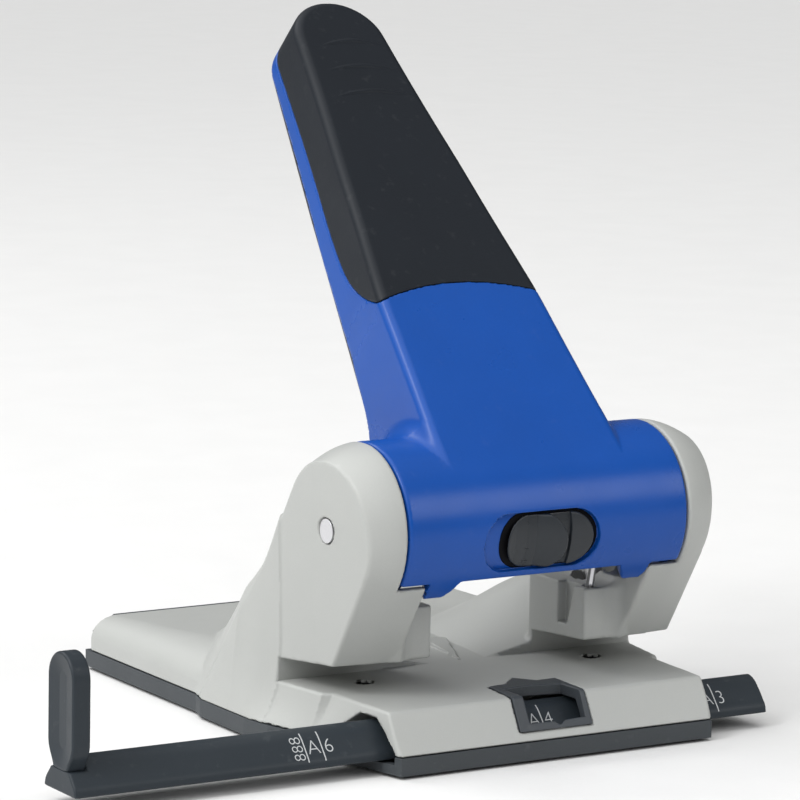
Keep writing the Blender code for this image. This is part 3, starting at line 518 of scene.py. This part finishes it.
# Each raised crescent on the grip, by three points across and along.
CRESCENTS = [((-9.9, 159.3), (0.6, 161.4), (14.2, 158.5)),
             ((-10.9, 149.7), (1.8, 151.3), (15.0, 148.4)),
             ((-12.1, 139.4), (4.8, 141.1), (16.6, 138.3))]


def grip_skin(x, y, z):
    s, n = lever_place(y, z)
    grip = both(handle_field(x, s, n), grip_field(x, s, n), 0.6)
    grip = np.maximum(grip, -handle_field(x, s, n, inset=2.0, lift=-8.0))
    for low, middle, high in CRESCENTS:
        line = np.polyfit(*zip(low, middle, high), 2)
        along = np.clip((2 * x - low[0] - high[0]) / (high[0] - low[0]), -1.2, 1.2)
        width = 0.75 * (1 - along ** 2)
        off = s - np.polyval(line, x)
        ridge = np.hypot(off, n - BARREL_R + 0.3) - width
        grip = either(grip, ridge, 0.35)
    return grip


grip = surface("soft_grip", grip_skin, (-31, 12, 116), (31, 112, 212), 0.55)
add_piece(grip, "lever", "grip_rubber", "grip")


def knob_field(x, y, z):
    """A scooped plate with a half moon that rises to the right, and a groove beside it."""
    out, along = slider_place(y, z)
    radius = np.hypot(y - PIVOT_Y, z - PIVOT_Z)
    skin = np.interp(x, [-14.6, -11.5, -7.5, -4.7, 5.9, 6.9, 7.2, 15.0],
                     [24.9, 24.1, 23.7, 23.9, 23.7, 23.8, 24.9, 24.9])
    back = np.interp(x, [-15.7, -9.1], [24.4, 23.4])
    knob = both(stadium(x, along, -14.6, 15.0, 8.0), radius - skin, 0.4)
    moon = np.maximum(np.hypot(x + 4.2, along) - 8.8, -4.9 - x)
    moon = np.maximum(moon, np.abs(along) - 7.9)
    crown = curve(x, [-5, -2, 3, 4.6], [23.5, 25.2, 27.1, 27.3])
    knob = np.minimum(knob, both(moon, radius - crown, 0.5))
    return np.maximum(np.maximum(knob, back - radius), -out)


knob = surface("slide_knob", knob_field, (-17, -41.5, 53), (17.5, -30, 74), 0.3)
add_piece(knob, "lock_slider", "slider_plastic", "lock_slider")


def shade_seat_field(x, y, z):
    """The seat round the slot in the recess, under the slider, in near-black: partly its own dark plastic
    rim, partly painted shade for the deep gap round the knob.
    """
    out, along = slider_place(y, z)
    radius = np.hypot(y - PIVOT_Y, z - PIVOT_Z)
    seat = both(stadium(x, along, -16.7, 17.1, 8.5), radius - 23.2, 0.15)
    seat = np.maximum(seat, 22.5 - radius)
    slot = np.maximum(slab(x, *SLIDER_SLOT), np.abs(along) - SLIDER_SLOT_HALF)
    return np.maximum(np.maximum(seat, -slot), -out)


# The seat's near-black is partly painted shade, standing in for the shadow in the deep gap round the
# knob.
seat = surface("slide_seat_painted_shade", shade_seat_field, (-18, -37, 53), (18.5, -30, 74), 0.35)
add_piece(seat, "lever", "slider_plastic", material="seat_black_painted_shade")


# ---------------------------------------------------------------- rail and window

def rail_half(z):
    """Half the rail's depth at a height: a bell."""
    return curve(z, [4.5, 7.0, 9.0, 11.0, 13.0, 14.6], [9.6, 8.9, 7.3, 5.6, 3.6, 1.0])


def rail_field(x, y, z):
    """The rail, lower under the paddle."""
    side = (np.abs(y - RAIL_Y) - rail_half(z)) * 0.75
    rail = both(side, z - RAIL_TOP, 1.0)
    rail = both(rail, RAIL_LOW - z, 0.5)
    rail = both(rail, slab(x, RAIL_LEFT, RAIL_RIGHT), 0.6)
    return np.where(x < STOP_FACE + 0.3, np.maximum(rail, z - 11.0), rail)


rail = surface("stop_rail_bar", rail_field, (-156, -39, 3.5), (81, -17, 16), 0.5)
add_piece(rail, "stop_rail", "rail_plastic", "rail")


def paddle_field(x, y, z):
    """An upright stadium on a short foot, with a soft dish in its outer face."""
    half, middle, reach = 7.6, 27.6, 8.8
    face = np.hypot(y - RAIL_Y, z - np.clip(z, middle - reach, middle + reach)) - half
    foot = both(np.abs(y - RAIL_Y) - 4.2, z - 16, 1.0)
    foot = np.maximum(foot, 11.2 - z)
    flat = either(face, foot, 2.0)
    dish = curve(-face, [0.6, 5.5], [0, 0.9])
    paddle = both(flat, RAIL_LEFT + dish - x, 0.8)
    return both(paddle, x - STOP_FACE, 0.8)


paddle = surface("paper_stop", paddle_field, (-156, -37, 9), (-147, -19, 46), 0.35)
add_piece(paddle, "stop_rail", "rail_plastic", "stop_paddle")


OPENING = [(-8.8, -41.5), (-9.1, -27.0), (-0.2, -26.6), (10.1, -28.6), (10.7, -37.9), (10.4, -41.4),
           (3.2, -41.6), (1.4, -42.2), (-0.6, -41.6)]


def insert_field(x, y, z):
    plan = outline([(px * 0.985, py) for px, py in WINDOW], x, y) + 0.12
    skin = both(z - 18.7, bed_front(y, z) - 0.35, 0.7)
    form = both(plan, skin, 0.4)
    form = np.maximum(form, -(skin + 3.3))
    form = np.maximum(form, 9.3 - z)
    return less(form, outline(OPENING, x, y), 0.4)


insert = surface("window_insert", insert_field, (-14.5, -44.5, 8.3), (14.5, -14, 20), 0.35)
add_piece(insert, "root", "insert_plastic", "window_frame")


# ---------------------------------------------------------------- scale marks

def on_slope(height):
    """The rail's front slope at a height: a point just off its skin."""
    return RAIL_Y - float(rail_half(height)) - 0.07, height + 0.05


def mark_text(name, body, x, low, high, turned=False):
    """A scale mark on the rail's front slope, its middle at x."""
    font = bpy.data.curves.new(name, "FONT")
    font.body = body
    font.resolution_u = 6
    font.offset = -0.018
    holder = bpy.data.objects.new(name + "_holder", font)
    bpy.context.scene.collection.objects.link(holder)
    graph = bpy.context.evaluated_depsgraph_get()
    mesh = bpy.data.meshes.new_from_object(holder.evaluated_get(graph))
    bpy.data.objects.remove(holder)
    points = np.array([v.co[:2] for v in mesh.vertices])
    if turned:
        points = np.stack([-points[:, 1], points[:, 0]], 1)
    first, last = points.min(0), points.max(0)
    scale = (high - low) * 1.3 / (last[1] - first[1])
    for vertex, (u, v) in zip(mesh.vertices, points):
        height = low + (high - low) * (v - first[1]) / (last[1] - first[1])
        y, z = on_slope(height)
        vertex.co = Vector((x + (u - (first[0] + last[0]) / 2) * scale, y, z)) * MM
    mesh.name = name
    obj = bpy.data.objects.new(name, mesh)
    bpy.context.scene.collection.objects.link(obj)
    return add_piece(obj, "stop_rail", "rail_plastic", material="print_ink")


def mark_line(name, x, low, high, width=0.38):
    points, faces = [], []
    steps = 10
    for i in range(steps + 1):
        y, z = on_slope(low + (high - low) * i / steps)
        points += [Vector((x - width / 2, y, z)) * MM, Vector((x + width / 2, y, z)) * MM]
        if i:
            faces.append((2 * i - 2, 2 * i - 1, 2 * i + 1, 2 * i))
    mesh = bpy.data.meshes.new(name)
    mesh.from_pydata(points, [], faces)
    obj = bpy.data.objects.new(name, mesh)
    bpy.context.scene.collection.objects.link(obj)
    return add_piece(obj, "stop_rail", "rail_plastic", material="print_ink")


mark_line("mark_line_888", -80.0, MARK_LOW, MARK_HIGH)
mark_text("mark_888", "888", -82.4, 7.3, 12.9, turned=True)
for label, x, before, after in (("a6", -74.5, "A", "6"), ("a4", 0.0, "A", "4"), ("a3", 61.5, "A", "3")):
    mark_line("mark_line_" + label, x, MARK_LOW, MARK_HIGH)
    mark_text("mark_" + label + "_letter", before, x - 2.7, 8.6, 11.8)
    mark_text("mark_" + label + "_digit", after, x + 2.3, 8.6, 11.8)


# ---------------------------------------------------------------- finishes of the CAD nodes

def soften(obj, width):
    """Rounds a CAD node's edges a little."""
    weld = obj.modifiers.new("weld", "WELD")
    weld.merge_threshold = 0.000002
    bevel = obj.modifiers.new("bevel", "BEVEL")
    bevel.width = width * MM
    bevel.segments = 3
    bevel.limit_method = "ANGLE"
    bevel.angle_limit = math.radians(40)
    bevel.harden_normals = True


EDGES = {"chip_tray": 0.5, "pivot_shaft": 0.4, "lever_cover": 0.3, "anti_slip_mat": 0.15}
for subpart in frame["record"]["subparts"]:
    node = frame["nodes"][subpart["node"]]
    node.data.materials.clear()
    node.data.materials.append(MATERIALS[subpart["material_slot"]])
    if subpart["node"] in EDGES:
        soften(node, EDGES[subpart["node"]])


# ---------------------------------------------------------------- floor, light and camera

def add_floor():
    mesh = bpy.data.meshes.new("floor")
    mesh.from_pydata([(-8, -8, 0), (8, -8, 0), (8, 8, 0), (-8, 8, 0)], [], [(0, 1, 2, 3)])
    mesh.materials.append(MATERIALS["floor"])
    obj = bpy.data.objects.new("floor", mesh)
    bpy.context.scene.collection.objects.link(obj)


def add_light(name, place, target, size, energy):
    data = bpy.data.lights.new(name, "AREA")
    data.shape = "SQUARE"
    data.size = size
    data.energy = energy
    obj = bpy.data.objects.new(name, data)
    obj.location = place
    obj.rotation_euler = (Vector(target) - Vector(place)).to_track_quat("-Z", "Y").to_euler()
    bpy.context.scene.collection.objects.link(obj)


def add_world(level, bright, towards):
    """A dim room with one very large soft light, bright towards one direction."""
    world = bpy.data.worlds.new("studio")
    world.use_nodes = True
    nodes, links = world.node_tree.nodes, world.node_tree.links
    background = nodes["Background"]
    place = nodes.new("ShaderNodeTexCoord")
    along = nodes.new("ShaderNodeVectorMath")
    along.operation = "DOT_PRODUCT"
    links.new(place.outputs["Generated"], along.inputs[0])
    along.inputs[1].default_value = Vector(towards).normalized()
    ranged = nodes.new("ShaderNodeMapRange")
    ranged.interpolation_type = "SMOOTHSTEP"
    ranged.inputs["From Min"].default_value = 0.3
    ranged.inputs["From Max"].default_value = 1.0
    ranged.inputs["To Min"].default_value = level
    ranged.inputs["To Max"].default_value = bright
    links.new(along.outputs["Value"], ranged.inputs["Value"])
    links.new(ranged.outputs["Result"], background.inputs["Strength"])
    background.inputs["Color"].default_value = (1.0, 1.0, 1.0, 1)
    bpy.context.scene.world = world


def add_camera():
    azimuth, elevation, roll = (math.radians(v) for v in (-31.65, 9.04, 1.14))
    back = Vector((math.sin(azimuth) * math.cos(elevation), -math.cos(azimuth) * math.cos(elevation),
                   math.sin(elevation)))
    level = Vector((math.cos(azimuth), math.sin(azimuth), 0))
    above = back.cross(level)
    right = math.cos(roll) * level + math.sin(roll) * above
    up = -math.sin(roll) * level + math.cos(roll) * above
    data = bpy.data.cameras.new("camera")
    data.lens = 198.65
    data.sensor_width = 36
    data.shift_x = -0.0002
    data.shift_y = 0.00135
    data.clip_start, data.clip_end = 0.05, 60
    obj = bpy.data.objects.new("camera", data)
    place = Matrix((right, up, back)).transposed().to_4x4()
    place.translation = Vector((-0.69608, -1.08138, 0.30315))
    obj.matrix_world = place
    bpy.context.scene.collection.objects.link(obj)
    bpy.context.scene.camera = obj


add_floor()
add_world(0.14, 1.9, (-0.5, -0.05, 0.86))
add_light("key", (-1.3, -0.1, 1.3), (0, 0, 0.08), 0.5, 11)
add_light("band", (0.62, -0.87, 0.60), (0, 0, 0.07), 0.5, 2.6)
add_light("rear", (-0.5, 1.2, 1.3), (0, 0, 0.05), 0.6, 5)
add_camera()
bpy.context.scene.view_settings.view_transform = "Standard"
